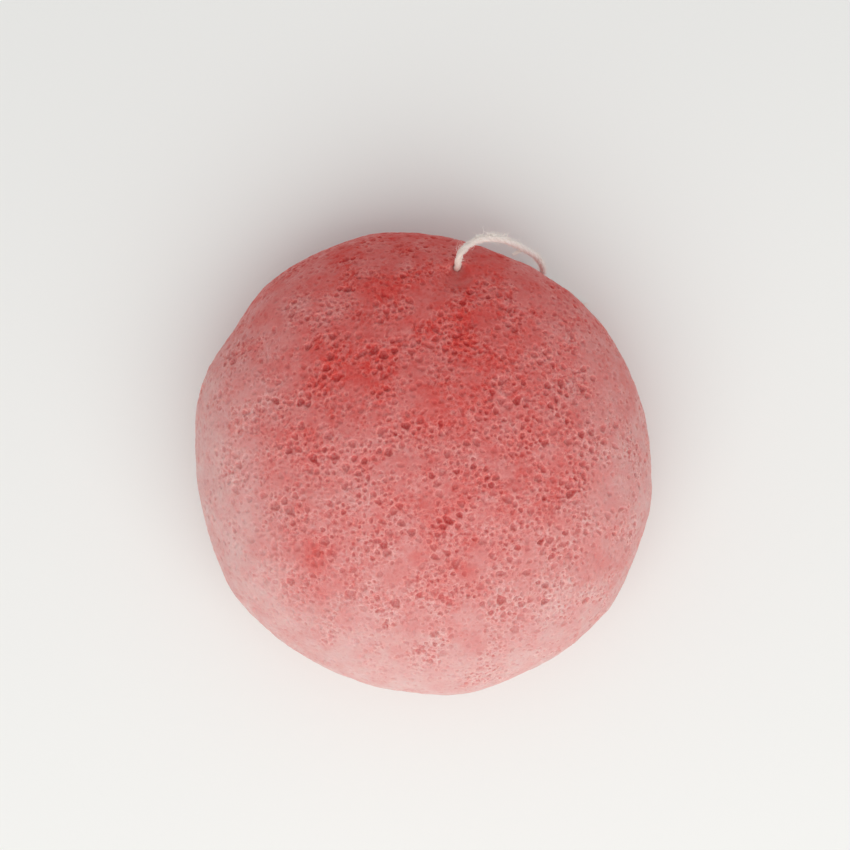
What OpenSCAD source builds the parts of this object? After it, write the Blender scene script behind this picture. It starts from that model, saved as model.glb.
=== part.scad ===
// Half-ball konjac sponge with a knotted cotton string stitched through its shoulder.
// It rests dome up on its flat back. +Z is up, and the origin is the middle of the flat back.

/* [Sponge] */
// Width across the widest part of the dome
sponge_d = 80; // [60:1:100]
// Height from the flat back to the top of the dome
sponge_h = 38; // [34:0.5:46]
// Radius of the soft edge between the flat back and the side
edge_r = 12; // [8:0.5:13]
// Radius of the shoulder between the side and the crown
shoulder_r = 20; // [14:0.5:20]

/* [Side pressed in by the string] */
// How far the string has pressed the side in
press_depth = 1.5; // [0.2:0.1:3]
// Radius that the pressed side has
press_r = 60; // [55:1:120]
// Direction of the pressed side, seen from above
press_angle = 64; // [40:1:90]

/* [String] */
// Thickness of the cotton string
string_d = 1.2; // [0.8:0.1:1.4]
// Clearance round the string in its hole
hole_clearance = 0.08; // [0.02:0.01:0.1]
// Radius that the string bends to as it leaves its hole
mouth_bend_r = 2.4; // [2:0.1:3]

/* [Knot] */
// Turns that one end takes round the other
knot_turns = 2; // [1:1:3]
// Advance of each turn along the knot
knot_pitch = 1.7; // [1.7:0.05:2.2]
// Gap between the turns and the strand that they go round
knot_gap = 0.1; // [0.05:0.05:0.3]
// Length of the cut end that leaves the turns
cut_end = 6; // [3:0.5:9]

/* [Hidden] */

foam_colour = [0.83, 0.47, 0.45];
string_colour = [0.93, 0.91, 0.85];
overrun = 1;

// Arcs of the sponge's profile: the soft edge, the shoulder and the crown, each tangent to the next
arc_step = 5;
sponge_r = sponge_d / 2;
edge_x = sponge_r - edge_r;
shoulder_x = sponge_r - shoulder_r;
dome_h = sponge_h - edge_r;
crown_r = (pow(shoulder_x, 2) + pow(dome_h, 2) - pow(shoulder_r, 2)) / (2 * (dome_h - shoulder_r));
crown_z = sponge_h - crown_r;
join_angle = atan2(edge_r - crown_z, shoulder_x);

// Route of the string out of the top of its hole, over the shoulder and down beside the rim to the knot
loop_route = [
    [5.5, 33, 23.4], [5.5, 33, 24.3], [5.5, 33, 25.1], [5.6, 33.3, 26.3], [5.7, 34.2, 27.2],
    [6.2, 35.4, 27.4], [7.4, 36.7, 26.5], [9, 37.6, 25.1], [10.9, 38.1, 23.4], [12.8, 38.2, 21.5],
    [14.7, 37.9, 19.3], [16.5, 37.4, 17], [18.2, 36.8, 14.5], [19.6, 36.2, 12], [20.6, 35.4, 9.4],
    [21.2, 34.6, 6.9], [21.2, 33.9, 4.6], [20.8, 33.3, 2]
];

// Route of the other end, out of the bottom of the hole, through the knot and on to where it is cut
under_route = [
    [5.5, 33, 4.6], [5.5, 33, 3.8], [5.5, 33, 3], [5.8, 33.1, 1.8], [6.6, 33.5, 1], [7.8, 34, 0.7],
    [9.8, 34.5, 0.7], [12, 34.7, 0.7], [14.3, 34.5, 1], [16.4, 34, 1.5], [18.4, 33.2, 1.9],
    [20.1, 32.2, 2], [21.5, 31.3, 2], [23, 30.4, 2], [24.5, 29.5, 1.6], [25.9, 28.6, 1],
    [27.4, 27.5, 0.7], [28.9, 26.2, 0.7]
];

// The knot goes round the straight stretch of the under run that starts at this point of its route
knot_point = 11;
knot_from = under_route[knot_point];
knot_along = unit(under_route[knot_point + 2] - knot_from);
knot_out = [-knot_along.y, knot_along.x, 0];
knot_turn_r = string_d + knot_gap;
rings_a_turn = 24;

// The hole stands straight up where both routes leave it
hole_x = loop_route[0].x;
hole_y = loop_route[0].y;
hole_r = string_d / 2 + hole_clearance;
hole_low = under_route[0].z;
hole_high = loop_route[0].z;
flare_r = mouth_bend_r - hole_r;
top_bend_z = loop_route[2].z;
under_bend_z = under_route[2].z;

// Sides of the string's tube, and the steps between two points of its route
string_sides = 8;
route_steps = 2;

function unit(v) = v / norm(v);

function arc(x, z, r, from, to) = [for (a = [from:(to - from) / ceil(abs(to - from) / arc_step):to])
    [x + r * cos(a), z + r * sin(a)]];

// One point of the smooth curve through b and c, with a before and d after them
function between(a, b, c, d, t) = (2 * b + (c - a) * t + (2 * a - 5 * b + 4 * c - d) * pow(t, 2)
    + (3 * b - a - 3 * c + d) * pow(t, 3)) / 2;

function smooth(p) = let (last = len(p) - 1) concat(
    [for (i = [0:last - 1], s = [0:route_steps - 1]) between(
        i > 0 ? p[i - 1] : 2 * p[0] - p[1], p[i], p[i + 1],
        i + 2 <= last ? p[i + 2] : 2 * p[last] - p[last - 1], s / route_steps)],
    [p[last]]);

// Direction at each point of a path
function headings(p) = let (last = len(p) - 1)
    [for (i = [0:last]) unit(p[min(i + 1, last)] - p[max(i - 1, 0)])];

// A sideways direction carried along the path with no twist
function carried(side, t, i = 0) = i == len(t) ? [] :
    let (s = unit(side - (side * t[i]) * t[i])) concat([s], carried(s, t, i + 1));

// The knot's turns, from the loop's end round the under run, and then its cut end along the ground
function knot_turn(a) = knot_from + knot_along * knot_pitch * a / 360
    + knot_turn_r * (cos(a) * knot_out - [0, 0, sin(a)]);

function knot_path() = let (
        turned = knot_turns * 360,
        leaves = knot_turn(turned),
        bend = [for (a = [30:30:90]) leaves + knot_turn_r * ((1 - cos(a)) * knot_along - [0, 0, sin(a)])])
    concat(
        [for (i = [0:knot_turns * rings_a_turn]) knot_turn(i * 360 / rings_a_turn)],
        bend,
        [for (s = [1:2]) bend[2] + knot_along * (cut_end - knot_turn_r) * s / 2]);

// Least gap of a tube to itself, between points at least half a turn apart
function gap_to_self(p) = min([for (i = [0:len(p) - 1], j = [i + rings_a_turn / 2:1:len(p) - 1])
    norm(p[i] - p[j])]) - string_d;

// A round string swept along a path, with flat ends
module string_tube(path) {
    t = headings(path);
    s = carried(abs(t[0].z) > 0.9 ? [1, 0, 0] : [0, 0, 1], t);
    last = len(path) - 1;
    n = string_sides;
    points = [for (i = [0:last], k = [0:n - 1]) path[i] + string_d / 2
        * (cos(360 * k / n) * s[i] + sin(360 * k / n) * cross(t[i], s[i]))];
    near_end = [for (k = [1:n - 2]) [0, k, k + 1]];
    far_end = [for (k = [1:n - 2]) [last * n, last * n + k + 1, last * n + k]];
    skin = [for (i = [0:last - 1], k = [0:n - 1], half = [0, 1])
        let (a = i * n + k, b = i * n + (k + 1) % n)
        half == 0 ? [a, a + n, b + n] : [a, b + n, b]];
    polyhedron(points = points, faces = concat(near_end, far_end, skin));
}

module profile() {
    polygon(concat(
        [[0, 0]],
        arc(edge_x, edge_r, edge_r, -90, 0),
        arc(shoulder_x, edge_r, shoulder_r, 0, join_angle),
        arc(0, crown_z, crown_r, join_angle, 90)));
}

// Rounded mouths of the string's hole: the foam curves away as the string does
module hole() {
    top_flare = arc(mouth_bend_r, top_bend_z, flare_r, 180, 90);
    under_flare = arc(mouth_bend_r, under_bend_z, flare_r, 270, 180);
    rotate_extrude($fn = 48)
        polygon(concat(
            [[0, -overrun], [mouth_bend_r, -overrun]],
            under_flare,
            top_flare,
            [[mouth_bend_r, sponge_h + overrun], [0, sponge_h + overrun]]));
}

module sponge_body() {
    color(foam_colour)
    difference() {
        intersection() {
            rotate_extrude($fn = 96)
                profile();
            rotate([0, 0, press_angle])
                translate([sponge_r - press_depth - press_r, 0, edge_r])
                    sphere(r = press_r, $fn = 96);
        }
        translate([hole_x, hole_y, 0])
            hole();
    }
}

module string_in_sponge() {
    color(string_colour)
    translate([hole_x, hole_y, hole_low])
        cylinder(d = string_d, h = hole_high - hole_low, $fn = 32);
}

module hang_loop() {
    color(string_colour)
    string_tube(smooth(loop_route));
}

module under_run() {
    color(string_colour)
    string_tube(smooth(under_route));
}

module knot() {
    color(string_colour)
    string_tube(knot_path());
}

echo(str("Least gap of the knot to itself, in mm: ", gap_to_self(knot_path())));

sponge_body();
string_in_sponge();
hang_loop();
under_run();
knot();
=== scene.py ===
import math

import bpy
import numpy as np
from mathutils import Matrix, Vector
from mathutils.kdtree import KDTree


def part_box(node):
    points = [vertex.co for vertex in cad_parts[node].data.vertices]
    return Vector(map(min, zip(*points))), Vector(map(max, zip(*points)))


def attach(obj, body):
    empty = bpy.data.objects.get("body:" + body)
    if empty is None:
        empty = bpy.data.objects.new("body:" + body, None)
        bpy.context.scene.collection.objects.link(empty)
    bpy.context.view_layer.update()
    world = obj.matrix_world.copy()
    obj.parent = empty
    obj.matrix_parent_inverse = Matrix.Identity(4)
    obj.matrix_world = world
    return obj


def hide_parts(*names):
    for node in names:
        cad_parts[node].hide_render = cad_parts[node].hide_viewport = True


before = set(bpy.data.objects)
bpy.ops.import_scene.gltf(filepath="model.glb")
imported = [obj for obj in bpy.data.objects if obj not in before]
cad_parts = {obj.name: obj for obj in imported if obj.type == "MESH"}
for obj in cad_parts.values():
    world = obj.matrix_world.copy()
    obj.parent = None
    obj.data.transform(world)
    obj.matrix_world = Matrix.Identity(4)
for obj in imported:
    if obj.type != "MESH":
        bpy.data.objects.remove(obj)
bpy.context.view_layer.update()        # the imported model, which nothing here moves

MM = 0.001

# Camera: straight above, in the photograph's frame
PHOTO_PX = 850
FOCAL_PX = 1648.5
SENSOR_MM = 36.0
CAMERA_AT = (0.17 * MM, 6.8 * MM, 300 * MM)

# Sponge: the arcs of its profile, and the side that the string has pressed in
FOAM_LOW, FOAM_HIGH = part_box("sponge_body")
SPONGE_R = -FOAM_LOW.x
SPONGE_H = FOAM_HIGH.z
EDGE_R = 12 * MM
SHOULDER_R = 20 * MM
EDGE_X = SPONGE_R - EDGE_R
SHOULDER_X = SPONGE_R - SHOULDER_R
DOME_H = SPONGE_H - EDGE_R
CROWN_R = (SHOULDER_X ** 2 + DOME_H ** 2 - SHOULDER_R ** 2) / (2 * (DOME_H - SHOULDER_R))
CROWN_Z = SPONGE_H - CROWN_R
JOIN_ANGLE = math.atan2(EDGE_R - CROWN_Z, SHOULDER_X)
PRESS_DEPTH = 1.5 * MM
PRESS_R = 60 * MM
PRESS_ANGLE = 64
# Unevenness of the rim from above: direction in degrees, and how far outside the circle it lies, in mm
RIM = (
    (12, -0.8), (33, -0.7), (50, 0.2), (85, 0.1), (105, 1.1), (128, 1.4), (145, 0.6), (160, 1.0),
    (182, -0.5), (200, -0.7), (213, -0.1), (235, -0.8), (258, -0.5), (282, 0.5), (295, 0.2), (318, 0.7),
    (345, 0),
)

# Hole of the string, and the rounded mouths that the string bends over
HOLE_LOW, HOLE_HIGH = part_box("string_in_sponge")
HOLE_X = (HOLE_LOW.x + HOLE_HIGH.x) / 2
HOLE_Y = (HOLE_LOW.y + HOLE_HIGH.y) / 2
HOLE_R = 0.606 * MM
MOUTH_R = 2.4 * MM
FLARE_R = 1.72 * MM
TOP_BEND_Z = 25.1 * MM
UNDER_BEND_Z = 3 * MM
# In degrees: the middle of the string's swing, how far to each side of it the mouths are round, and how
# far beyond they blend into plain funnels
SWEPT_MIDDLE = 123
SWEPT_HALF = 60
FUNNEL_BLEND = 40
# What lies within this many radii of the hole's axis is its wall
HOLE_WALL = 1.02

# String: thickness, length of one turn of its plies, their number, and each one's share of that thickness
STRING_D = 1.2 * MM
LAY_LENGTH = 5.5 * MM
PLIES = 3
PLY_SHARE = 0.75
# Unevenness of the plies: height as a share of the radius, length of a radian, and shift from ply to ply
PLY_WAVES = ((0.025, 1.9 * MM, 2.1), (0.02, 0.83 * MM, 4.4))
WAVE_ROOM = sum(height for height, _, _ in PLY_WAVES)
# Rounding of the two ends: how long it is, and how much of the squared radius goes
ROUNDED = 0.6 * MM
END_DOME = 0.9
# Fibres in the yarn: their lay as a share of the plies', and how drawn out their streaks are
YARN_LAY = 0.6
YARN_DRAWN = 0.12
# The routes that its two ends follow from the hole, in mm
LOOP_ROUTE = [
    (5.5, 33, 23.4), (5.5, 33, 24.3), (5.5, 33, 25.1), (5.6, 33.3, 26.3), (5.7, 34.2, 27.2),
    (6.2, 35.4, 27.4), (7.4, 36.7, 26.5), (9, 37.6, 25.1), (10.9, 38.1, 23.4), (12.8, 38.2, 21.5),
    (14.7, 37.9, 19.3), (16.5, 37.4, 17), (18.2, 36.8, 14.5), (19.6, 36.2, 12), (20.6, 35.4, 9.4),
    (21.2, 34.6, 6.9), (21.2, 33.9, 4.6), (20.8, 33.3, 2),
]
UNDER_ROUTE = [
    (5.5, 33, 4.6), (5.5, 33, 3.8), (5.5, 33, 3), (5.8, 33.1, 1.8), (6.6, 33.5, 1), (7.8, 34, 0.7),
    (9.8, 34.5, 0.7), (12, 34.7, 0.7), (14.3, 34.5, 1), (16.4, 34, 1.5), (18.4, 33.2, 1.9),
    (20.1, 32.2, 2), (21.5, 31.3, 2), (23, 30.4, 2), (24.5, 29.5, 1.6), (25.9, 28.6, 1),
    (27.4, 27.5, 0.7), (28.9, 26.2, 0.7),
]

# Knot: the point of the under route that it starts at, its turns, their pitch and radius, and its cut end
KNOT_POINT = 11
KNOT_TURNS = 2
KNOT_PITCH = 1.7 * MM
KNOT_R = STRING_D + 0.1 * MM
CUT_END = 6 * MM
# Points that draw a turn and the cut end
STEPS_A_TURN = 72
CUT_END_STEPS = 24

# Every fibre: points along it and round it, how far from the string's middle it starts as a share of the
# string's thickness, and its room to the foam and floor
FIBRE_STEPS = 6
FIBRE_SIDES = 3
FIBRE_ROOT = 0.4
FIBRE_ROOM = 0.05 * MM
# Shares of a fibre's length that it goes outward, along the string and swaying, and the turns of its curls
OUTWARD = (0.15, 1)
ALONG = (0.2, 1.8)
SWAY = (0.08, 0.3)
CURLS = (0.7, 1.3)
# A direction that no fibre follows, to set its sides by
ASKEW = (0.31, 0.47, 0.83)
# Fuzz: fibres a millimetre of string, thickness, the share of it at the tip, and its length in mm, as the
# shape and scale of a random draw and as limits
FUZZ_PER_MM = 58
FUZZ_D = 0.045 * MM
FINE_TIP = 0.25
FUZZ_DRAW = (2.0, 0.2)
FUZZ_REACH = (0.15, 1.3)
# Tuft at the crown: fibres, thickness, where on the loop it starts and ends, how much each coordinate
# counts in its lean, how far its angles spread, and limits of length in mm
TUFT = 70
TUFT_D = 0.13 * MM
TUFT_SPAN = (0.24, 0.46)
TUFT_LEAN = (0.35, 1, 0.4)
TUFT_SPREAD = 0.5
TUFT_REACH = (0.4, 1.3)
# Brush of a cut end: fibres, radius as a share of the string's thickness, how far back it starts, how much
# it spreads, limits of length and curl in mm, and its least height
BRUSH = 170
BRUSH_SHARE = 0.42
BRUSH_BACK_MM = 0.35
BRUSH_SPREAD = (0.4, 1.6)
BRUSH_REACH = (0.45, 1.15)
BRUSH_CURL = 0.12
BRUSH_LOWEST = 0.03 * MM
# Loose fibres: number, thickness, the share of it at the tip, and where on the loop they start. In mm from
# there: the first one's end, its bow, the ends' distance, and how much less each next one bows
LOOSE = 3
LOOSE_D = 0.3 * MM
LOOSE_TIP = 0.7
LOOSE_AT = 0.6
LOOSE_END = (-2.3, -1.0, 1.8)
LOOSE_BOW = (-0.08, 0.12, 0.1)
LOOSE_APART = (0.09, -0.13, 0.05)
LOOSE_STRAIGHTER = 0.7

# Foam mesh: squares along each face of the cube that is wrapped over the sponge
SQUARES = 256
# Points on each arc of the profile
ARC_POINTS = 700
# Cells for each unit of a direction, by which the cube's faces are joined, and their shift
WELD_CELLS = 100000
WELD_SHIFT = 0.37
# Flat map of the foam: the height that the cube's faces take, the top of the hole's band, and the margins
HOLE_BAND = 0.96
HOLE_BAND_TOP = 0.99
MAP_MARGIN = 0.004
# Height that the side of a stretch of string takes on its flat map
STRING_BAND = 0.95

# Waves of the foam's skin: height in mm, wavelength and seed, the share of them on the back, its upper
# limit, and the width round the hole over which they start
SKIN_WAVES = ((0.10, 11 * MM, 31), (0.05, 3.5 * MM, 32), (0.018, 1.1 * MM, 33))
BACK_WAVES = 0.25
BACK_TOP = 0.3 * MM
CALM_ROUND = 2 * MM

# Pores: how many are tried, and the radii in mm that each share of them stays under
PORES_TRIED = 130000
PORE_SHARES = (0, 0.45, 0.90, 0.965, 0.991, 0.999, 1)
PORE_RADII = (0.17, 0.25, 0.34, 0.44, 0.55, 0.67, 0.82)
# What crowding does, as a base and a gain: pores kept, their size, the walls between, how open they are
CROWD_KEPT = (0.2, 0.8)
CROWD_SIZE = (0.85, 0.3)
CROWD_WALL = (2.1, -1.6)
CROWD_OPEN = (0.25, 0.75)
# Depth of a pore for its radius, by how open it is, as a base and a gain
OPEN_DEPTH = (0.28, 0.95)
# Walls between pores: least thickness in mm, and the shape and scale of the random rest
WALL_LEAST = 0.07
WALL_DRAW = (2.0, 0.06)
# How stretched a pore is: the draw's shape and scale, and its limit
STRETCH_DRAW = (1.6, 0.09)
STRETCH_MOST = 0.55
# Limits of the share of its openness that chance leaves a pore
OPEN_DRAW = (0.35, 1.0)
# Share of the pores that run into their neighbours, and by how much of their radius
MERGED = 0.3
MERGED_BY = 0.3
# Pores stay this far from the hole, and this many of their radii
HOLE_ROOM = 0.2 * MM
HOLE_RADII = 3
# Outline of a pore: how far it leaves the circle, and in how many lobes
PORE_LOBES = ((0.08, 2), (0.10, 3), (0.07, 5))
# In radii: how far a pore's shape reaches, and where its lip is and how wide. Then the lip's height in mm
PORE_REACH = 2.1
LIP_AT = 1.15
LIP_WIDTH = 0.2
LIP_MM = 0.04

# Crowding of the pores: amount, wavelength and seed of its fields, what they count for, how much there is
# without them, and how much less on the shoulder
CROWD_LAYERS = ((1, 9 * MM, 6), (0.6, 4 * MM, 7))
CROWD_GAIN = 1.25
CROWD_LEVEL = 0.35
CROWD_SHOULDER = 1.9
# The shoulder's start and width, as shares of the radius, and the height over which it comes in
SHOULDER_RAMP = (0.55, 0.4)
SHOULDER_RISE = 7 * MM
# The side where the pores are shallower and fainter, the most that they lose, and its start and width
CALM_SIDE = (-0.8, -0.6)
CALM_SHARE = 0.62
CALM_RAMP = (0.3, 0.5)

# Places where the foam is wetter and its colour deeper: x, y, width and height in mm, and how much
DEEP_PATCHES = (
    (-6, 29, 10, 6, 0.08), (-13, 17, 11, 6, 0.08), (7, 23, 6, 9, 0.06), (10, -2, 11, 8, 0.08),
    (-17, -18, 3, 8, 0.10), (4, -17, 8, 2.5, 0.10), (29, -15, 8, 4.5, 0.10),
)
# How far their edges wander: amount, wavelength and seed
PATCH_EDGES = ((0.25, 5 * MM, 43),)
# Depth of the colour: in the middle, what the far side adds as painted shade (the near side loses as much
# as painted light), and what a slow drift adds
DEPTH_MIDDLE = 0.61
SIDE_PAINTED_SHADE = 0.27
DEPTH_BY_DRIFT = 0.05
DRIFT_LAYERS = ((0.6, 20 * MM, 41), (0.25, 6 * MM, 42))
# What it loses at the rim, partly the foam's own paler edge and partly painted light, how much less at the
# far and near side and more at the left, where the lamp reaches less, and the rim's start and width, as
# shares of the radius
RIM_TONE_AND_PAINTED_LIGHT = 0.26
RIM_FAR = 0.85
RIM_NEAR = 0.62
RIM_LEFT = 0.6
RIM_RAMP = (0.5, 0.38)
# What it loses round the hole, as painted light against the shade of the hole's dimple, and how far out
HOLE_PAINTED_LIGHT = 0.2
HOLE_PAINTED_LIGHT_WIDTH = 1.2 * MM
# What it loses along the nearest edge, as painted light on the lit side, and that edge's start and width
FRONT_PAINTED_LIGHT = 0.06
FRONT_RAMP = (0.75, 0.2)

# Colours of the foam from 0 to 255, where it is palest and where it is deepest. The colours of the small
# hollows and of the pores' insides are partly the foam's deeper red and partly painted shade
SKIN = ((220, 179, 175), (209, 64, 57))
BRIGHT = ((244, 212, 206), (229, 109, 99))
HOLLOW_RED_AND_SHADE = ((196, 104, 104), (176, 34, 36))
PIT_RED_AND_SHADE = ((212, 110, 108), (196, 42, 42))
# Cells a metre of the foam's fine net
NET_SCALE = 1500.0

# Colours of the cotton from 0 to 255, its dim one also painted as shade in the grooves between the plies,
# and of the foam's stain on it, with the stain's reach and strength
COTTON_PALE = (253, 247, 243)
COTTON_WARM = (246, 236, 229)
COTTON_DIM_AND_GROOVE_SHADE = (227, 212, 202)
FUZZ_PALE = (253, 249, 244)
FUZZ_WARM = (240, 230, 220)
STAIN = (222, 193, 176)
STAINED = 9 * MM
STAIN_STRENGTH = 0.9

# Floor: its colours from 0 to 255, half its width, and how far below the sponge's back it lies
FLOOR_PALE = (243, 243, 240)
FLOOR_DIM = (238, 238, 235)
FLOOR_HALF = 1.5
FLOOR_GAP = 0.02 * MM


def add_object(name, data):
    made = bpy.data.objects.new(name, data)
    bpy.context.scene.collection.objects.link(made)
    return made


def unit(v):
    return v / np.linalg.norm(v, axis=-1, keepdims=True)


def ramp(value, start, width):
    """Rises from 0 at the start to 1 over the width."""
    return np.clip((value - start) / width, 0, 1)


def linear(terms, value):
    """A base and a gain, at a value."""
    base, gain = terms
    return base + gain * value


def ring_angles(count):
    return np.arange(count) * math.tau / count


def add_camera():
    data = bpy.data.cameras.new("camera")
    data.sensor_width = SENSOR_MM
    data.lens = SENSOR_MM * FOCAL_PX / PHOTO_PX
    data.clip_start = 10 * MM
    camera = add_object("camera", data)
    camera.location = CAMERA_AT
    bpy.context.scene.camera = camera


def set_map(mesh, corners):
    """Stores the flat map, one place for each corner of each face."""
    mesh.uv_layers.new(name="OFBake").data.foreach_set("uv", np.asarray(corners, np.float32).ravel())


def mesh_from(name, points, faces, smooth=True):
    mesh = bpy.data.meshes.new(name)
    mesh.from_pydata([tuple(p) for p in points], [], faces)
    mesh.polygons.foreach_set("use_smooth", [smooth] * len(mesh.polygons))
    return mesh


def tube_faces(rings, sides):
    """Faces of a tube of rings, closed at both ends."""
    faces = []
    for a in range(0, (rings - 1) * sides, sides):
        b = a + sides
        faces += [(a + k, a + (k + 1) % sides, b + (k + 1) % sides, b + k) for k in range(sides)]
    faces.append(tuple(reversed(range(sides))))
    faces.append(tuple(range((rings - 1) * sides, rings * sides)))
    return faces


def vectors_of(data, name):
    """One vector for each vertex."""
    values = np.empty(len(data) * 3, np.float32)
    data.foreach_get(name, values)
    return values.reshape(-1, 3).astype(float)


def set_attribute(mesh, name, values):
    """Stores one number, or one vector, for each vertex."""
    values = np.asarray(values, np.float32)
    kind, key = ("FLOAT_VECTOR", "vector") if values.ndim == 2 else ("FLOAT", "value")
    mesh.attributes.new(name, kind, "POINT").data.foreach_set(key, values.ravel())


def tree_of(points, ids):
    """A search tree of the points that the ids name."""
    tree = KDTree(len(ids))
    for i in ids:
        tree.insert(points[i], i)
    tree.balance()
    return tree


def soft_noise(points, wavelength, seed, waves=28, paces=(0.7, 1.4)):
    """A smooth random field at points, mostly between -1 and 1."""
    rng = np.random.default_rng(seed)
    headings = unit(rng.normal(size=(waves, 3)))
    pace = headings * rng.uniform(*paces, (waves, 1)) * math.tau / wavelength
    return np.sin(points @ pace.T + rng.uniform(0, math.tau, waves)).sum(1) / math.sqrt(waves)


def layered(points, layers):
    """Smooth random fields added up, from the amount, wavelength and seed of each."""
    return sum(amount * soft_noise(points, wavelength, seed) for amount, wavelength, seed in layers)


def srgb(red, green, blue):
    """Linear colour of a screen colour from 0 to 255."""
    shares = [c / 255 for c in (red, green, blue)]
    return tuple(c / 12.92 if c <= 0.04045 else ((c + 0.055) / 1.055) ** 2.4 for c in shares) + (1.0,)


class Nodes:
    """Short calls for one material's nodes. A scale is in features a metre."""

    # Places of the Mix node's colour sockets
    COLOUR_A = 6
    COLOUR_B = 7
    COLOUR_OUT = 2

    def __init__(self, name):
        self.material = bpy.data.materials.new(name)
        self.material.use_nodes = True
        self.tree = self.material.node_tree
        self.shader = self.tree.nodes["Principled BSDF"]

    def add(self, kind, inputs=None, **settings):
        node = self.tree.nodes.new("ShaderNode" + kind)
        for key, value in settings.items():
            setattr(node, key, value)
        for key, value in (inputs or {}).items():
            self.feed(node.inputs[key], value)
        return node

    def feed(self, socket, value):
        """Links a socket into another, or sets it to a value."""
        if isinstance(value, bpy.types.NodeSocket):
            self.tree.links.new(value, socket)
        else:
            socket.default_value = value

    def place(self):
        return self.add("TexCoord").outputs["Object"]

    def value(self, name):
        return self.add("Attribute", attribute_name=name).outputs["Fac"]

    def vector(self, name):
        return self.add("Attribute", attribute_name=name).outputs["Vector"]

    def noise(self, vector, scale, detail=2.0, roughness=0.5):
        inputs = {"Vector": vector, "Scale": scale, "Detail": detail, "Roughness": roughness}
        return self.add("TexNoise", inputs).outputs["Fac"]

    def cells(self, vector, scale, feature="F1", output="Distance"):
        return self.add("TexVoronoi", {"Vector": vector, "Scale": scale}, feature=feature).outputs[output]

    def warp(self, vector, scale, amount):
        """The vector, moved about by a noise."""
        shift = self.add("TexNoise", {"Vector": vector, "Scale": scale, "Detail": 1.0}).outputs["Color"]
        centred = self.add("VectorMath", {0: shift, 1: (0.5, 0.5, 0.5)}, operation="SUBTRACT")
        scaled = self.add("VectorMath", {0: centred.outputs[0], "Scale": amount}, operation="SCALE")
        return self.add("VectorMath", {0: vector, 1: scaled.outputs[0]}, operation="ADD").outputs[0]

    def span(self, value, low, high, to_low=0.0, to_high=1.0, smooth=True):
        """The value's place between low and high, from to_low to to_high."""
        kind = "SMOOTHSTEP" if smooth else "LINEAR"
        node = self.add("MapRange", {"Value": value}, interpolation_type=kind)
        ends = {"From Min": low, "From Max": high, "To Min": to_low, "To Max": to_high}
        for key, end in ends.items():
            node.inputs[key].default_value = end
        return node.outputs["Result"]

    def band(self, value, low, high):
        """1 where the value is halfway between low and high, falling to 0 at both."""
        middle = (low + high) / 2
        return self.times(self.span(value, low, middle), self.span(value, middle, high, 1.0, 0.0))

    def math(self, operation, a, b):
        return self.add("Math", {0: a, 1: b}, operation=operation).outputs[0]

    def times(self, a, b):
        return self.math("MULTIPLY", a, b)

    def mix(self, share, a, b):
        node = self.add("Mix", data_type="RGBA")
        self.feed(node.inputs["Factor"], share)
        self.feed(node.inputs[self.COLOUR_A], a)
        self.feed(node.inputs[self.COLOUR_B], b)
        return node.outputs[self.COLOUR_OUT]

    def bump(self, height, distance, strength=1.0, under=None):
        node = self.add("Bump", {"Height": height, "Distance": distance, "Strength": strength})
        if under is not None:
            self.feed(node.inputs["Normal"], under)
        return node.outputs["Normal"]

    def finish(self, colour, **sockets):
        """Feeds the shader. Underscores stand for the spaces in its sockets' names."""
        self.feed(self.shader.inputs["Base Color"], colour)
        for key, value in sockets.items():
            self.feed(self.shader.inputs[key.replace("_", " ")], value)
        return self.material


def curve_through(route, steps=24):
    """A smooth line through the route's points, in metres."""
    p = np.array(route, float)
    p = np.vstack([2 * p[0] - p[1], p, 2 * p[-1] - p[-2]])
    t = np.arange(steps)[:, None] / steps
    stretches = []
    for a, b, c, d in zip(p, p[1:], p[2:], p[3:]):
        stretches.append((2 * b + (c - a) * t + (2 * a - 5 * b + 4 * c - d) * t ** 2
                          + (3 * b - a - 3 * c + d) * t ** 3) / 2)
    return np.vstack([*stretches, p[-2:-1]]) * MM


def knot_line():
    """The turns of the loop's end round the other end, then its own cut end along the ground."""
    start = np.array(UNDER_ROUTE[KNOT_POINT], float) * MM
    along = unit(np.array(UNDER_ROUTE[KNOT_POINT + 2], float) * MM - start)
    out = np.array([-along[1], along[0], 0])
    down = np.array([0, 0, -1])

    def turn(a):
        around = KNOT_R * (math.cos(a) * out + math.sin(a) * down)
        return start + along * KNOT_PITCH * a / math.tau + around

    turned = [turn(a) for a in np.linspace(0, KNOT_TURNS * math.tau, KNOT_TURNS * STEPS_A_TURN + 1)]
    quarter = np.linspace(0, math.pi / 2, STEPS_A_TURN // 4 + 1)[1:]
    bend = [turned[-1] + KNOT_R * ((1 - math.cos(a)) * along + math.sin(a) * down) for a in quarter]
    straight = [bend[-1] + along * s for s in np.linspace(0, CUT_END - KNOT_R, CUT_END_STEPS + 1)[1:]]
    return np.array(turned + bend + straight)


def distances(line):
    """How far along the line each of its points lies."""
    return np.concatenate([[0], np.cumsum(np.linalg.norm(np.diff(line, axis=0), axis=1))])


def even(line, gap):
    """The line with its points an even gap apart."""
    far = distances(line)
    places = np.linspace(0, far[-1], max(2, round(far[-1] / gap)) + 1)
    return np.stack([np.interp(places, far, line[:, k]) for k in range(3)], 1)


def tube_map(rings, sides, low, high):
    """The flat map of a closed tube: its side in a band from low to high, its ends in two discs above."""
    s, k = np.meshgrid(np.arange(rings - 1), np.arange(sides), indexing="ij")
    along = np.stack([s, s, s + 1, s + 1], -1).reshape(-1) / (rings - 1)
    around = low + (high - low) * np.stack([k, k + 1, k + 1, k], -1).reshape(-1) / sides
    a = ring_angles(sides)
    disc_r = (1 - high) / 2.5
    disc_y = (1 + high) / 2
    discs = [np.stack([x + disc_r * np.cos(a), disc_y + disc_r * np.sin(a)], 1) for x in (0.25, 0.75)]
    return np.vstack([np.stack([along, around], 1), discs[0][::-1], discs[1]])


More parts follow.
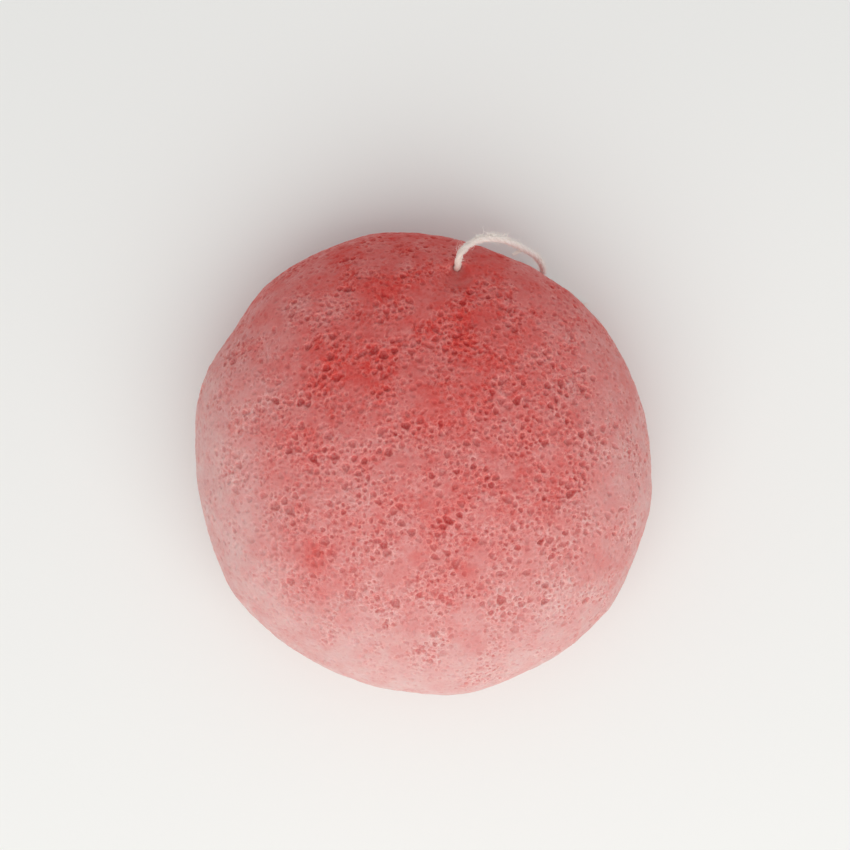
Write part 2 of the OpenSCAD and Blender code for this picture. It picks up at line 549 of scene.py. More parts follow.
class String:
    """The whole string as one line, from the cut end under the rim, through the hole, to the knot's."""

    # Distance between two rings of points, and the points in a ring
    GAP = 0.15 * MM
    SIDES = 36

    def __init__(self):
        loop = even(curve_through(LOOP_ROUTE), self.GAP)
        under = even(curve_through(UNDER_ROUTE), self.GAP)[::-1]
        inner = even(np.array([under[-1], loop[0]]), self.GAP)
        knot = even(knot_line(), self.GAP)
        self.stretches = {}
        parts = []
        count = 0
        for name, line in (("under", under), ("inner", inner), ("loop", loop), ("knot", knot)):
            line = line if not parts else line[1:]
            first = max(count - 1, 0)
            count += len(line)
            self.stretches[name] = (first, count)
            parts.append(line)
        self.line = np.vstack(parts)
        self.far = distances(self.line)
        self.heading = unit(np.gradient(self.line, axis=0))
        self.side = self.carried()
        self.across = np.cross(self.heading, self.side)

    def carried(self):
        """A sideways direction carried along the line with no twist."""
        sides = [np.array([0.0, 0.0, 1.0])]
        for t in self.heading:
            s = sides[-1] - (sides[-1] @ t) * t
            sides.append(s / np.linalg.norm(s))
        return np.array(sides[1:])

    def length(self, name):
        first, end = self.stretches[name]
        return self.far[end - 1] - self.far[first]

    def ring_at(self, name, share):
        """The ring at a share of a stretch's rings."""
        first, end = self.stretches[name]
        return first + int(share * (end - first))

    def radius(self, angle, far):
        """Radius of the string's outline: plies that turn along it, each a little uneven."""
        ply_r = PLY_SHARE * STRING_D / 2
        ply_x = STRING_D / 2 - ply_r
        third = math.tau / PLIES
        turned = angle - math.tau * far / LAY_LENGTH
        within = (turned + third / 2) % third - third / 2
        lobe = ply_x * np.cos(within) + np.sqrt(ply_r ** 2 - (ply_x * np.sin(within)) ** 2)
        ply = np.floor((turned + third / 2) / third) % PLIES
        uneven = sum(height * np.sin(far / radian + shift * ply) for height, radian, shift in PLY_WAVES)
        to_end = np.minimum(far, self.far[-1] - far)
        rounded = np.sqrt(1 - END_DOME * (1 - ramp(to_end, 0, ROUNDED)) ** 2)
        return lobe * (1 + uneven - WAVE_ROOM) * rounded

    def point(self, ring, angle, out):
        """The point at a distance out from the string's middle, at each ring and angle."""
        turn = np.cos(angle)[:, None] * self.side[ring] + np.sin(angle)[:, None] * self.across[ring]
        return self.line[ring] + out[:, None] * turn

    def build(self, name, stretch):
        """One stretch of the string as a closed tube."""
        rings = np.arange(*self.stretches[stretch])
        ring = np.repeat(rings, self.SIDES)
        far = self.far[ring]
        angle = np.tile(ring_angles(self.SIDES), len(rings))
        out = self.radius(angle, far)
        mesh = mesh_from(name, self.point(ring, angle, out), tube_faces(len(rings), self.SIDES))
        set_map(mesh, tube_map(len(rings), self.SIDES, 0.0, STRING_BAND))
        yarn = angle + math.tau * far / (YARN_LAY * LAY_LENGTH)
        fibre = np.stack([out * np.cos(yarn), out * np.sin(yarn), far * YARN_DRAWN], 1)
        set_attribute(mesh, "fibre", fibre / MM)
        # Where the grooves between the plies lie, for the painted shade there
        turned = (angle - math.tau * far / LAY_LENGTH) * PLIES
        set_attribute(mesh, "groove", 0.5 - 0.5 * np.cos(turned))
        past_foam = np.maximum(far - self.far[self.stretches["loop"][0]], 0)
        set_attribute(mesh, "stain", np.exp(-past_foam / STAINED))
        return add_object(name, mesh)


def foam_height(radius):
    """Heights of the foam's upper and lower surface at a radius, with no pressed side."""
    r = np.minimum(radius, SPONGE_R)
    join_r = CROWN_R * math.cos(JOIN_ANGLE)
    crown = CROWN_Z + np.sqrt(np.maximum(CROWN_R ** 2 - r ** 2, 0))
    shoulder = EDGE_R + np.sqrt(np.maximum(SHOULDER_R ** 2 - (r - SHOULDER_X) ** 2, 0))
    upper = np.where(r < join_r, crown, shoulder)
    lower = EDGE_R - np.sqrt(np.maximum(EDGE_R ** 2 - np.maximum(r - EDGE_X, 0) ** 2, 0))
    return upper, lower


def clear_of_foam(points, room, turns=(0, 20, 40, 60, 80)):
    """Which points stay outside the foam, with room to spare, as the string swings by these degrees."""
    ok = points[:, 2] > room
    x = points[:, 0] - HOLE_X
    y = points[:, 1] - HOLE_Y
    for degrees in turns:
        a = math.radians(degrees)
        turned_x = HOLE_X + x * math.cos(a) - y * math.sin(a)
        turned_y = HOLE_Y + x * math.sin(a) + y * math.cos(a)
        radius = np.hypot(turned_x, turned_y)
        upper, lower = foam_height(radius)
        inside = (radius < SPONGE_R + room) & (points[:, 2] < upper + room) & (points[:, 2] > lower - room)
        ok &= ~inside
    return ok


def fibres_mesh(name, lines, thickness, tips):
    """Thin fibres along the lines, with each one's thickness and the share of it at its tip."""
    count, steps, _ = lines.shape
    heading = unit(np.gradient(lines, axis=1))
    side = unit(np.cross(heading, np.array(ASKEW)))
    across = np.cross(heading, side)
    t = np.linspace(0, 1, steps)[None, :, None]
    taper = (1 + (tips - 1)[:, None, None] * t) * thickness[:, None, None] / 2
    corners = [lines + taper * (math.cos(a) * side + math.sin(a) * across)
               for a in ring_angles(FIBRE_SIDES)]
    points = np.stack(corners, 2).reshape(-1, 3)
    tube = tube_faces(steps, FIBRE_SIDES)
    starts = range(0, len(points), steps * FIBRE_SIDES)
    mesh = mesh_from(name, points, [[a + i for i in face] for a in starts for face in tube], smooth=False)
    set_map(mesh, fibres_map(count, steps))
    return mesh


def fibres_map(count, steps, side_high=0.25, margin=0.05):
    """The flat map of the fibres: a small square for each, with its two ends above its side."""
    s, k = np.meshgrid(np.arange(steps - 1), np.arange(FIBRE_SIDES), indexing="ij")
    along = np.stack([s, s, s + 1, s + 1], -1).reshape(-1) / (steps - 1)
    around = np.stack([k, k + 1, k + 1, k], -1).reshape(-1) * side_high
    ends = np.array([(0.1, 0.8), (0.3, 0.8), (0.2, 0.95), (0.7, 0.8), (0.9, 0.8), (0.8, 0.95)])
    one = margin + (1 - 2 * margin) * np.vstack([np.stack([along, around], 1), ends])
    across = math.ceil(math.sqrt(count))
    corner = np.stack([np.arange(count) % across, np.arange(count) // across], 1)
    return (corner[:, None] + one[None]) / across


def standing_fibres(string, ring, angle, reach, rng):
    """Curling fibres that stand off the string from the rings and angles given."""
    count = len(ring)
    start = string.point(ring, angle, np.full(count, FIBRE_ROOT * STRING_D))
    outward = unit(start - string.line[ring]) * rng.uniform(*OUTWARD, (count, 1))
    along = string.heading[ring] * rng.choice([-1, 1], (count, 1)) * rng.uniform(*ALONG, (count, 1))
    t = np.linspace(0, 1, FIBRE_STEPS)[None, :, None]
    lines = start[:, None] + (outward + along)[:, None] * t * reach[:, None, None]
    for pace in CURLS:
        sway = unit(rng.normal(size=(count, 3)))[:, None] * rng.uniform(*SWAY, (count, 1, 1))
        turn = math.tau * (pace * t + rng.uniform(0, 1, (count, 1, 1)))
        lines = lines + sway * (np.sin(turn) - np.sin(turn[:, :1])) * reach[:, None, None]
    ok = np.all([clear_of_foam(lines[:, s], FIBRE_ROOM) for s in range(2, FIBRE_STEPS)], axis=0)
    return lines[ok]


def crown_tuft(string, rng):
    """Thicker fibres at the loop's crown, which lean away from the dome's middle."""
    low, high = (string.ring_at("loop", share) for share in TUFT_SPAN)
    ring = rng.integers(low, high, TUFT)
    away = string.line[ring] * TUFT_LEAN
    angle = np.arctan2((away * string.across[ring]).sum(1), (away * string.side[ring]).sum(1))
    angle += rng.normal(0, TUFT_SPREAD, TUFT)
    return standing_fibres(string, ring, angle, rng.uniform(*TUFT_REACH, TUFT) * MM, rng)


def cut_brush(string, ring, way, rng, flare=1.6):
    """Short fibres that spread from one cut end of the string."""
    angle = rng.uniform(0, math.tau, BRUSH)
    out = np.sqrt(rng.uniform(0, 1, BRUSH)) * BRUSH_SHARE * STRING_D
    start = string.point(np.full(BRUSH, ring), angle, out)
    ahead = string.heading[ring] * way
    spread = (start - string.line[ring]) * rng.uniform(*BRUSH_SPREAD, (BRUSH, 1))
    start = start - ahead * BRUSH_BACK_MM * MM
    reach = rng.uniform(*BRUSH_REACH, (BRUSH, 1)) * MM
    t = np.linspace(0, 1, FIBRE_STEPS)[None, :, None]
    curl = rng.normal(0, BRUSH_CURL, (BRUSH, 1, 3)) * MM
    lines = start[:, None] + (ahead * reach)[:, None] * t + spread[:, None] * t ** flare + curl * t ** 2
    lines[..., 2] = np.maximum(lines[..., 2], BRUSH_LOWEST)
    return lines


def loose_fibres(string):
    """The few long fibres that stand off the loop together."""
    root = string.line[string.ring_at("loop", LOOSE_AT)]
    t = np.linspace(0, 1, FIBRE_STEPS)[:, None]
    end, bow, apart = (np.array(v) * MM for v in (LOOSE_END, LOOSE_BOW, LOOSE_APART))
    lines = []
    for k in range(LOOSE):
        bowed = (1 - LOOSE_STRAIGHTER * k) * bow * np.sin(t * math.pi)
        lines.append(root + (end + k * apart) * t + bowed)
    return np.array(lines)


def string_fuzz(string, seed=11):
    """All the fibres of the string, with the brush at its two cut ends."""
    rng = np.random.default_rng(seed)
    count = int((string.far[-1] - string.length("inner")) / MM * FUZZ_PER_MM)
    rings = np.concatenate([np.arange(*string.stretches[s]) for s in ("under", "loop", "knot")])
    reach = rng.gamma(*FUZZ_DRAW, count).clip(*FUZZ_REACH) * MM
    fuzz = standing_fibres(string, rng.choice(rings, count), rng.uniform(0, math.tau, count), reach, rng)
    tuft = crown_tuft(string, rng)
    fuzz = np.vstack([fuzz, cut_brush(string, 0, -1, rng), cut_brush(string, -1, 1, rng)])
    loose = loose_fibres(string)
    counts = [len(tuft), len(loose), len(fuzz)]
    thickness = np.repeat([TUFT_D, LOOSE_D, FUZZ_D], counts)
    tips = np.repeat([FINE_TIP, LOOSE_TIP, FINE_TIP], counts)
    return fibres_mesh("string_fuzz", np.vstack([tuft, loose, fuzz]), thickness, tips)


def cotton_material():
    n = Nodes("cotton")
    fibre = n.vector("fibre")
    groove = n.value("groove")
    streak = n.noise(fibre, 9.0, detail=3.0, roughness=0.65)
    fluff = n.noise(fibre, 3.0, detail=2.0)
    dim_and_groove_shade = srgb(*COTTON_DIM_AND_GROOVE_SHADE)
    colour = n.mix(n.span(streak, 0.35, 0.68), srgb(*COTTON_WARM), srgb(*COTTON_PALE))
    colour = n.mix(n.span(fluff, 0.5, 0.75, 0.0, 0.35), colour, dim_and_groove_shade)
    # Painted shade in the grooves between the plies
    colour = n.mix(n.span(groove, 0.6, 1.0, 0.0, 0.45), colour, dim_and_groove_shade)
    colour = n.mix(n.times(n.value("stain"), STAIN_STRENGTH), colour, srgb(*STAIN))
    rough = n.span(streak, 0.2, 0.8, 0.98, 0.82)
    bumped = n.bump(streak, 0.09 * MM, 0.9)
    return n.finish(colour, Roughness=rough, Normal=bumped, Sheen_Weight=0.5, Subsurface_Weight=0.15,
                    Subsurface_Radius=(0.5, 0.42, 0.34), Subsurface_Scale=0.5 * MM)


def fuzz_material():
    n = Nodes("cotton_fuzz")
    tint = n.noise(n.place(), 900.0, detail=1.0)
    colour = n.mix(tint, srgb(*FUZZ_WARM), srgb(*FUZZ_PALE))
    return n.finish(colour, Roughness=0.9, Sheen_Weight=0.3)


def add_string():
    string = String()
    cotton = cotton_material()
    made = {}
    nodes = {"loop": "hang_loop", "under": "under_run", "knot": "knot", "inner": "string_in_sponge"}
    for stretch, node in nodes.items():
        piece = string.build("string_" + stretch, stretch)
        piece.data.materials.append(cotton)
        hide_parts(node)
        made[stretch] = piece
    fuzz = add_object("string_fuzz", string_fuzz(string))
    fuzz.data.materials.append(fuzz_material())
    for piece in [*made.values(), fuzz]:
        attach(piece, "string")


def profile():
    """The half ball's outline, from the top to the middle of the back, as radii and heights."""
    join = math.degrees(JOIN_ANGLE)
    arcs = ((0, CROWN_Z, CROWN_R, 90, join), (SHOULDER_X, EDGE_R, SHOULDER_R, join, 0),
            (EDGE_X, EDGE_R, EDGE_R, 0, -90))
    radii, heights = [], []
    for x, z, r, start, end in arcs:
        a = np.radians(np.linspace(start, end, ARC_POINTS))
        radii.append(x + r * np.cos(a))
        heights.append(z + r * np.sin(a))
    radii.append(np.linspace(EDGE_X, 0, ARC_POINTS))
    heights.append(np.zeros(ARC_POINTS))
    return np.maximum(np.concatenate(radii), 0), np.concatenate(heights)


def cube_grid(squares):
    """Directions, squares and flat map of a cube's six faces, not joined yet."""
    t = np.tan(np.linspace(-1, 1, squares + 1) * math.pi / 4)
    u, v = np.meshgrid(t, t, indexing="ij")
    ids = np.arange((squares + 1) ** 2).reshape(squares + 1, squares + 1)
    quad = np.stack([ids[:-1, :-1], ids[1:, :-1], ids[1:, 1:], ids[:-1, 1:]], -1).reshape(-1, 4)
    spread = np.linspace(MAP_MARGIN, 1 - MAP_MARGIN, squares + 1)
    place = np.stack(np.meshgrid(spread, spread, indexing="ij"), -1).reshape(-1, 2)
    directions, quads, places = [], [], []
    for face in range(6):
        axis, way = face % 3, 1 if face < 3 else -1
        d = np.empty((squares + 1, squares + 1, 3))
        d[..., axis] = way
        d[..., (axis + 1) % 3] = u
        d[..., (axis + 2) % 3] = v
        corners = quad if way > 0 else quad[:, ::-1]
        tile = np.array([face % 3 / 3, face // 3 / 2])
        places.append(((tile + place * [1 / 3, 1 / 2]) * [1, HOLE_BAND])[corners])
        quads.append(corners + face * ids.size)
        directions.append(d.reshape(-1, 3))
    return unit(np.vstack(directions)), np.vstack(quads), np.vstack(places)


def joined(directions):
    """The directions without their repeats, and where each one went."""
    cells = np.floor(directions * WELD_CELLS + WELD_SHIFT).astype(np.int64) + 2 * WELD_CELLS
    base = 4 * WELD_CELLS + 1
    keys = (cells[:, 0] * base + cells[:, 1]) * base + cells[:, 2]
    _, first, back = np.unique(keys, return_index=True, return_inverse=True)
    return directions[first], back


def wrapped_cube(squares):
    """Points, squares and flat map of a cube's grid, wrapped over the half ball with even areas."""
    directions, quads, places = cube_grid(squares)
    d, back = joined(directions)
    radii, heights = profile()
    bands = math.pi * (radii[1:] + radii[:-1]) * np.hypot(np.diff(radii), np.diff(heights))
    area = np.concatenate([[0], np.cumsum(bands)])
    at = (1 - d[:, 2]) / 2 * area[-1]
    r = np.interp(at, area, radii)
    z = np.interp(at, area, heights)
    flat = np.maximum(np.hypot(d[:, 0], d[:, 1]), 1e-12)
    points = np.stack([r * d[:, 0] / flat, r * d[:, 1] / flat, z], 1)
    return points, back[quads], places


def softly_over(value, softness):
    """The value where it is above zero, with a soft start."""
    return (value + np.sqrt(value ** 2 + softness ** 2)) / 2


def from_hole(points):
    """How far each point is from the upright axis of the string's hole."""
    return np.hypot(points[:, 0] - HOLE_X, points[:, 1] - HOLE_Y)


def uneven_rim(points):
    """Makes the sponge as uneven as a moulded one, most at its rim."""
    angle = np.degrees(np.arctan2(points[:, 1], points[:, 0])) % 360
    turns = np.array([a for a, _ in RIM] + [RIM[0][0] + 360], float)
    reach = np.array([d for _, d in RIM] + [RIM[0][1]], float) * MM
    place = np.where(angle < turns[0], angle + 360, angle)
    k = np.clip(np.searchsorted(turns, place, side="right") - 1, 0, len(turns) - 2)
    t = (place - turns[k]) / (turns[k + 1] - turns[k])
    t = t * t * (3 - 2 * t)
    radius = np.hypot(points[:, 0], points[:, 1])
    grown = 1 + (reach[k] * (1 - t) + reach[k + 1] * t) / SPONGE_R * radius / SPONGE_R
    points[:, :2] *= grown[:, None]
    return points


def press_side(points, angle, depth, radius, softness=0.5 * MM):
    """Presses one side in, to a ball of a larger radius."""
    a = math.radians(angle)
    reach = SPONGE_R - depth - radius
    centre = np.array([reach * math.cos(a), reach * math.sin(a), EDGE_R])
    away = points - centre
    far = np.linalg.norm(away, axis=1)
    return points - away / far[:, None] * softly_over(far - radius, softness)[:, None]


def open_mouths(points, softness=0.45 * MM, slope=1.5, spread=2.5):
    """Lowers the foam to the mouths of the string's hole, which rise by the slope past their radius."""
    out = from_hole(points)
    within = np.clip(MOUTH_R - out, 0, FLARE_R)
    swept = np.degrees(np.arctan2(points[:, 1] - HOLE_Y, points[:, 0] - HOLE_X))
    aside = np.abs((swept - SWEPT_MIDDLE + 180) % 360 - 180)
    funnel = ramp(aside, SWEPT_HALF, FUNNEL_BLEND)
    curve = np.sqrt(np.maximum(FLARE_R ** 2 - within ** 2, 0)) * (1 - funnel) + (FLARE_R - within) * funnel
    beyond = softly_over(out - MOUTH_R, softness) * slope
    top = TOP_BEND_Z + curve + beyond
    under = UNDER_BEND_Z - curve - beyond
    z = points[:, 2]
    lowered = z - softly_over(z - top, softness)
    raised = z + softly_over(under - z, softness)
    moved = np.where(z > EDGE_R, lowered, raised)
    fade = np.clip((MOUTH_R * spread - out) / MOUTH_R, 0, 1)
    points[:, 2] = z + (moved - z) * fade
    return points


def hole_cutter(sides=40, steps=60, low=-4 * MM):
    """The straight bar that the string's hole is cut with."""
    a = ring_angles(sides)
    points = []
    for z in np.linspace(low, SPONGE_H, steps):
        points += [(HOLE_X + HOLE_R * math.cos(t), HOLE_Y + HOLE_R * math.sin(t), z) for t in a]
    mesh = mesh_from("hole_cutter", points, tube_faces(steps, sides))
    set_map(mesh, tube_map(steps, sides, HOLE_BAND + MAP_MARGIN, HOLE_BAND_TOP))
    return add_object("hole_cutter", mesh)


def block_of_foam():
    """The half ball with its pressed side and its hole, before any pore."""
    points, quads, places = wrapped_cube(SQUARES)
    points = uneven_rim(press_side(points, PRESS_ANGLE, PRESS_DEPTH, PRESS_R))
    points = open_mouths(points)
    mesh = bpy.data.meshes.new("sponge")
    mesh.vertices.add(len(points))
    mesh.vertices.foreach_set("co", points.astype(np.float32).ravel())
    mesh.loops.add(quads.size)
    mesh.loops.foreach_set("vertex_index", quads.astype(np.int32).ravel())
    mesh.polygons.add(len(quads))
    mesh.polygons.foreach_set("loop_start", np.arange(0, quads.size, 4, dtype=np.int32))
    mesh.update(calc_edges=True)
    set_map(mesh, places)
    sponge = add_object("sponge", mesh)
    cutter = hole_cutter()
    cut = sponge.modifiers.new("hole", "BOOLEAN")
    cut.operation = "DIFFERENCE"
    cut.solver = "MANIFOLD"
    cut.object = cutter
    depsgraph = bpy.context.evaluated_depsgraph_get()
    sponge.data = bpy.data.meshes.new_from_object(sponge.evaluated_get(depsgraph), depsgraph=depsgraph)
    sponge.modifiers.clear()
    bpy.data.objects.remove(cutter)
    sponge.data.polygons.foreach_set("use_smooth", [True] * len(sponge.data.polygons))
    return sponge


def crowding(points):
    """How closely the pores stand at each point, from 0 to 1."""
    field = layered(points, CROWD_LAYERS)
    shoulder = ramp(np.hypot(points[:, 0], points[:, 1]) / SPONGE_R, *SHOULDER_RAMP)
    shoulder *= ramp(points[:, 2], EDGE_R, SHOULDER_RISE)
    return 1 / (1 + np.exp(CROWD_SHOULDER * shoulder - CROWD_LEVEL - CROWD_GAIN * field))


def faded(points):
    """How much the pores lose at each point."""
    towards = (points[:, 0] * CALM_SIDE[0] + points[:, 1] * CALM_SIDE[1]) / SPONGE_R
    return CALM_SHARE * ramp(towards, *CALM_RAMP)


class Pores:
    """Pores spread over the foam: large ones first, smaller ones where there is room."""

    def __init__(self, points, normals, seed=5):
        rng = np.random.default_rng(seed)
        pick = rng.integers(0, len(points), PORES_TRIED)
        radius = np.interp(rng.uniform(size=PORES_TRIED), PORE_SHARES, PORE_RADII) * MM
        crowd = crowding(points[pick])
        kept = rng.uniform(size=PORES_TRIED) < linear(CROWD_KEPT, crowd)
        radius *= linear(CROWD_SIZE, crowd)
        wall = (WALL_LEAST + rng.gamma(*WALL_DRAW, PORES_TRIED) * linear(CROWD_WALL, crowd)) * MM
        wall = np.where(rng.uniform(size=PORES_TRIED) < MERGED, -MERGED_BY * radius, wall)
        kept &= from_hole(points[pick]) > HOLE_R + HOLE_RADII * radius + HOLE_ROOM
        chosen = np.nonzero(kept)[0]
        chosen = chosen[np.argsort(-radius[chosen], kind="stable")]
        chosen = chosen[self.with_room(points[pick[chosen]], radius[chosen], wall[chosen])]
        pick, radius, crowd = pick[chosen], radius[chosen], crowd[chosen]
        count = len(pick)
        self.centre = points[pick]
        self.radius = radius
        normal = normals[pick]
        self.side = unit(np.cross(normal, unit(rng.normal(size=(count, 3)))))
        self.across = np.cross(normal, self.side)
        self.stretch = 1 + rng.gamma(*STRETCH_DRAW, count).clip(0, STRETCH_MOST)
        self.open = linear(CROWD_OPEN, crowd) * rng.uniform(*OPEN_DRAW, count)
        self.open *= 1 - faded(self.centre)
        self.depth = radius * linear(OPEN_DEPTH, self.open)
        self.wave = rng.uniform(0, math.tau, (len(PORE_LOBES), count))

    @staticmethod
    def with_room(points, radius, wall):
        """The pores, sorted from large to small, that no larger one leaves without room."""
        tree = tree_of(points, range(len(points)))
        free = np.ones(len(points), bool)
        chosen = []
        for i, p in enumerate(points):
            if not free[i]:
                continue
            chosen.append(i)
            reach = radius[i] + wall[i]
            for _, j, far in tree.find_range(p, reach + radius[i]):
                if j > i and far < reach + radius[j]:
                    free[j] = False
        return np.array(chosen)

    def reached(self, points, surface):
        """Each vertex with each pore that reaches it, and how many radii it lies out."""
        tree = tree_of(points, surface)
        vertex, pore = [], []
        for k, centre in enumerate(self.centre):
            for _, i, _ in tree.find_range(centre, self.radius[k] * PORE_REACH):
                vertex.append(i)
                pore.append(k)
        vertex, pore = np.array(vertex), np.array(pore)
        away = points[vertex] - self.centre[pore]
        u = (away * self.side[pore]).sum(1) / (self.radius * self.stretch)[pore]
        v = (away * self.across[pore]).sum(1) / (self.radius / np.sqrt(self.stretch))[pore]
        angle = np.arctan2(v, u)
        lobed = zip(PORE_LOBES, self.wave)
        wobble = sum(amount * np.sin(lobes * angle + wave[pore]) for (amount, lobes), wave in lobed)
        return vertex, pore, np.hypot(u, v) * (1 + wobble)


def carve(sponge):
    """Carves the pores into the foam, and notes where their floors and rims are."""
    mesh = sponge.data
    points = vectors_of(mesh.vertices, "co")
    normals = vectors_of(mesh.vertex_normals, "vector")
    count = len(points)
    out = from_hole(points)
    skin = out >= HOLE_R * HOLE_WALL
    surface = np.nonzero(skin)[0]
    pores = Pores(points[surface], normals[surface])
    vertex, pore, rho = pores.reached(points, surface)
    cup = np.clip(1 - rho ** 2, 0, 1) ** 0.5 * pores.depth[pore]
    rim = np.exp(-((rho - LIP_AT) / LIP_WIDTH) ** 2) * pores.open[pore]
    depth, lip = np.zeros(count), np.zeros(count)
    np.maximum.at(depth, vertex, cup)
    np.maximum.at(lip, vertex, rim)
    wavy = ramp(out, HOLE_R, CALM_ROUND) * np.where(points[:, 2] < BACK_TOP, BACK_WAVES, 1)
    lift = layered(points, SKIN_WAVES) * MM * wavy
    lift += np.where(depth > 0, 0, LIP_MM * lip * MM) - depth
    moved = points + normals * np.where(skin, lift, 0)[:, None]
    moved[:, 2] = np.maximum(moved[:, 2], 0)
    mesh.vertices.foreach_set("co", moved.astype(np.float32).ravel())
    past_edge = (rho - 1) * pores.radius[pore] / MM
    order = np.argsort(-past_edge, kind="stable")
    from_edge, openness = np.ones(count), np.zeros(count)
    from_edge[vertex[order]] = past_edge[order]
    openness[vertex[order]] = pores.open[pore[order]]
    set_attribute(mesh, "from_edge", np.clip(from_edge, -1, 1))
    set_attribute(mesh, "openness", openness)
    set_attribute(mesh, "blotch", foam_tone_and_painted_light(points))
    set_attribute(mesh, "crowd", crowding(points) * (1 - faded(points)))
    mesh.update()


def foam_tone_and_painted_light(points):
    """How deep the foam's colour is: deeper in patches; deeper on the far side as painted shade; paler on
    the near side, along its edge and round the hole as painted light; and paler near the rim, partly its
    own tone and partly painted light.
    """
    # Which side each point lies on, for painted shade on the far side and painted light on the near side
    side = np.clip(points[:, 1] / SPONGE_R, -1, 1)
    edges = layered(points, PATCH_EDGES)
    patches = np.zeros(len(points))
    for x, y, wide, high, amount in DEEP_PATCHES:
        reach = np.hypot((points[:, 0] / MM - x) / wide, (points[:, 1] / MM - y) / high) + edges
        patches = np.maximum(patches, amount * np.exp(-reach ** 2))
    patches *= ramp(points[:, 2], 0, EDGE_R)
    # Paler near the rim: partly the foam's own tone and partly painted light, most at the left
    rim = ramp(np.hypot(points[:, 0], points[:, 1]) / SPONGE_R, *RIM_RAMP)
    rim = RIM_TONE_AND_PAINTED_LIGHT * rim ** 2 * (3 - 2 * rim)
    rim = rim * (1 - RIM_FAR * np.clip(side, 0, 1)) * (1 - RIM_NEAR * np.clip(-side, 0, 1))
    rim *= 1 + RIM_LEFT * np.clip(-points[:, 0] / SPONGE_R, 0, 1)
    # Painted light round the hole, against the shade of its dimple
    lip = HOLE_PAINTED_LIGHT * (1 - ramp(from_hole(points), HOLE_R, HOLE_PAINTED_LIGHT_WIDTH))
    # Painted light along the nearest, lit edge
    front_light = FRONT_PAINTED_LIGHT * ramp(-side, *FRONT_RAMP)
    drift = DEPTH_BY_DRIFT * layered(points, DRIFT_LAYERS)
    return DEPTH_MIDDLE + SIDE_PAINTED_SHADE * side + drift + patches - rim - lip - front_light


def foam_texture(n, place, lively):
    """Fine structure between the pores: pale threads of cell wall, and small hollows and flecks, darkened
    partly as the foam's deeper red and partly as painted shade.
    """
    warped = n.warp(n.warp(place, 1900.0, 0.3 * MM), 500.0, 1.2 * MM)
    walls = n.span(n.cells(warped, NET_SCALE, "DISTANCE_TO_EDGE"), 0.0, 0.11, 1.0, 0.0)
    walls = n.times(walls, n.span(n.noise(place, 600.0), 0.38, 0.58))
    folds = n.band(n.noise(warped, 950.0, detail=1.0), 0.455, 0.545)
    folds = n.times(folds, n.span(n.noise(place, 420.0), 0.4, 0.6, 0.15, 1.0))
    threads = n.times(n.math("MAXIMUM", walls, folds), lively)
    hollows = n.span(n.cells(warped, NET_SCALE), 0.08, 0.4, 1.0, 0.0)
    hollows = n.times(hollows, n.span(n.cells(warped, NET_SCALE, output="Color"), 0.4, 0.65))
    flecks = n.span(n.noise(n.warp(place, 2500.0, 0.3 * MM), 2300.0, detail=1.0), 0.6, 0.72)
    hollows = n.math("MAXIMUM", hollows, n.times(flecks, 0.8))
    return threads, n.times(hollows, lively)


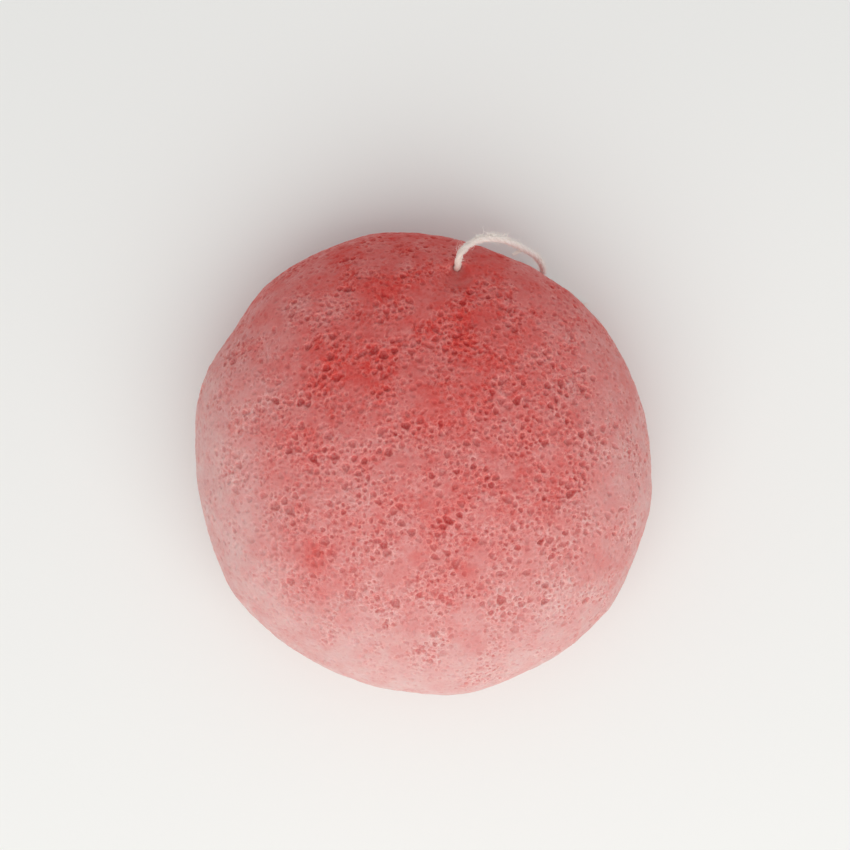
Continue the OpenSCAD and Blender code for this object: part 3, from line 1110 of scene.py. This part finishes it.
def foam_material():
    n = Nodes("konjac_foam")
    place = n.place()
    from_edge = n.value("from_edge")
    openness = n.value("openness")
    lively = n.span(n.value("crowd"), 0.08, 0.6, 0.3, 1.0)
    threads, hollows = foam_texture(n, place, lively)
    inner = n.span(n.noise(place, 3300.0, detail=1.0), 0.38, 0.62, 0.35, 1.0)
    pit_shade = n.times(n.span(from_edge, -0.14, 0.02, 1.0, 0.0), n.times(openness, inner))
    arcs = n.span(n.noise(place, 1100.0, detail=1.0), 0.36, 0.62, 0.15, 1.0)
    rim = n.times(n.band(from_edge, -0.02, 0.19), n.times(n.span(openness, 0.0, 0.6), arcs))
    slow = n.noise(place, 260.0, detail=3.0)
    drift = n.span(slow, 0.3, 0.7, -0.07, 0.07)
    mottle = n.span(n.noise(place, 1300.0, detail=2.0), 0.3, 0.7, -0.09, 0.09)
    # This depth carries the painted shade and light worked out for each vertex, with the foam's own tone
    depth = n.math("ADD", n.value("blotch"), n.math("ADD", drift, n.times(mottle, lively)))
    depth = n.span(depth, 0.1, 0.9, smooth=False)
    shades = [n.mix(depth, srgb(*pale), srgb(*deep)) for pale, deep in (SKIN, BRIGHT, HOLLOW_RED_AND_SHADE, PIT_RED_AND_SHADE)]
    skin, bright, hollow_red_and_shade, inside = shades
    colour = n.mix(n.times(threads, 0.54), skin, bright)
    # Small hollows and flecks: the foam's deeper red, with painted shade
    colour = n.mix(n.times(hollows, 0.52), colour, hollow_red_and_shade)
    colour = n.mix(n.times(rim, 0.7), colour, bright)
    # Inside the pores: the foam's deeper red, with painted shade
    colour = n.mix(n.times(pit_shade, 0.95), colour, inside)
    grain = n.noise(place, 3200.0, detail=2.0)
    bumped = n.bump(n.math("SUBTRACT", n.times(threads, 0.6), hollows), 0.07 * MM, 0.6)
    bumped = n.bump(grain, 0.04 * MM, 0.3, under=bumped)
    rough = n.span(slow, 0.3, 0.7, 0.38, 0.56)
    return n.finish(colour, Roughness=rough, Normal=bumped, Specular_IOR_Level=0.28, Subsurface_Weight=0.7,
                    Subsurface_Radius=(1.0, 0.3, 0.24), Subsurface_Scale=1.3 * MM)


def add_sponge():
    sponge = block_of_foam()
    carve(sponge)
    sponge.data.materials.clear()
    sponge.data.materials.append(foam_material())
    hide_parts("sponge_body")
    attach(sponge, "sponge")


def floor_material():
    n = Nodes("pale_floor")
    colour = n.mix(n.noise(n.place(), 6.0, detail=2.0), srgb(*FLOOR_PALE), srgb(*FLOOR_DIM))
    return n.finish(colour, Roughness=0.75)


def add_stage():
    half, under = FLOOR_HALF, -FLOOR_GAP
    corners = [(-half, -half, under), (half, -half, under), (half, half, under), (-half, half, under)]
    floor = add_object("floor", mesh_from("floor", corners, [(0, 1, 2, 3)], smooth=False))
    floor.data.materials.append(floor_material())


def add_light(name, place, width, height, power, colour):
    data = bpy.data.lights.new(name, "AREA")
    data.shape = "RECTANGLE"
    data.size = width
    data.size_y = height
    data.energy = power
    data.color = colour
    light = add_object(name, data)
    light.location = place
    light.rotation_euler = (-Vector(place)).to_track_quat("-Z", "Y").to_euler()


def add_lights():
    add_light("key", place=(0.03, -0.33, 0.45), width=1.0, height=0.6, power=2.72,
              colour=(1.0, 0.985, 0.96))
    world = bpy.data.worlds.new("studio")
    world.use_nodes = True
    sky = world.node_tree.nodes["Background"].inputs
    sky["Color"].default_value = (0.97, 0.98, 1.0, 1.0)
    sky["Strength"].default_value = 0.57
    scene = bpy.context.scene
    scene.world = world
    scene.view_settings.view_transform = "Standard"


add_camera()
add_string()
add_sponge()
add_stage()
add_lights()
